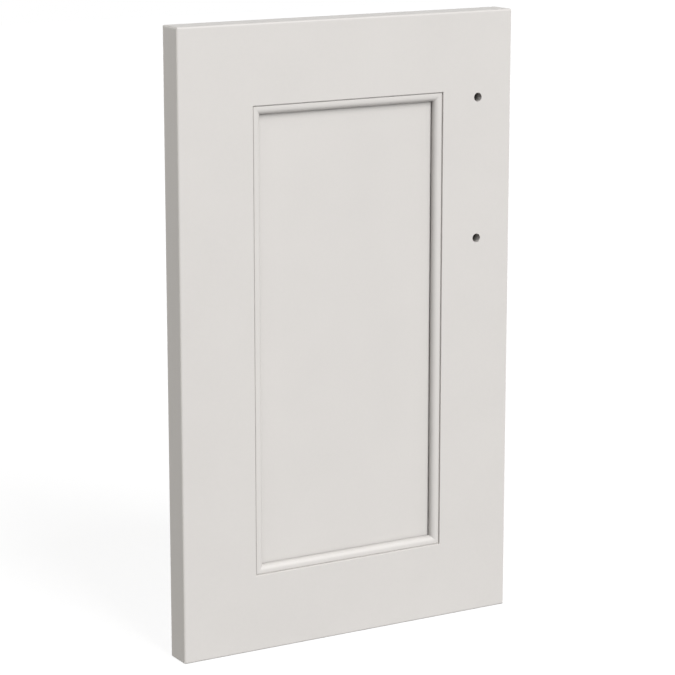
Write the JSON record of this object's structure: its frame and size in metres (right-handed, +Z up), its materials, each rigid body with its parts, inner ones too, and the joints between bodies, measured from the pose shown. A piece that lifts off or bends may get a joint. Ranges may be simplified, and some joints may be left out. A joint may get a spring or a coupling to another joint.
{
  "type": "vanity unit door",
  "caption": "Painted framed cabinet door with a recessed flat panel, mitred bead moulding, drilled handle holes and hinge pockets on the back.",
  "frame": {"origin": "middle of the bottom edge: centre of the door's width and thickness, at its lowest point", "axes": "+Z up along the door's height, +Y through the thickness towards the back, +X to the right as seen from the front; the front faces -Y"},
  "size_m": [0.252, 0.02, 0.419],
  "materials": {
    "frame_paint": "solid wood, sprayed in a satin pale warm grey paint",
    "panel_paint": "fibreboard panel, sprayed in the same satin pale warm grey paint",
    "bead_paint": "mitred moulding, sprayed in the same satin pale warm grey paint"
  },
  "bodies": {
    "root": {"hinge_stile": "frame_paint", "handle_stile": "frame_paint", "top_rail": "frame_paint", "bottom_rail": "frame_paint", "centre_panel": "panel_paint", "left_bead": "bead_paint", "right_bead": "bead_paint", "top_bead": "bead_paint", "bottom_bead": "bead_paint"}
  },
  "joints": []
}
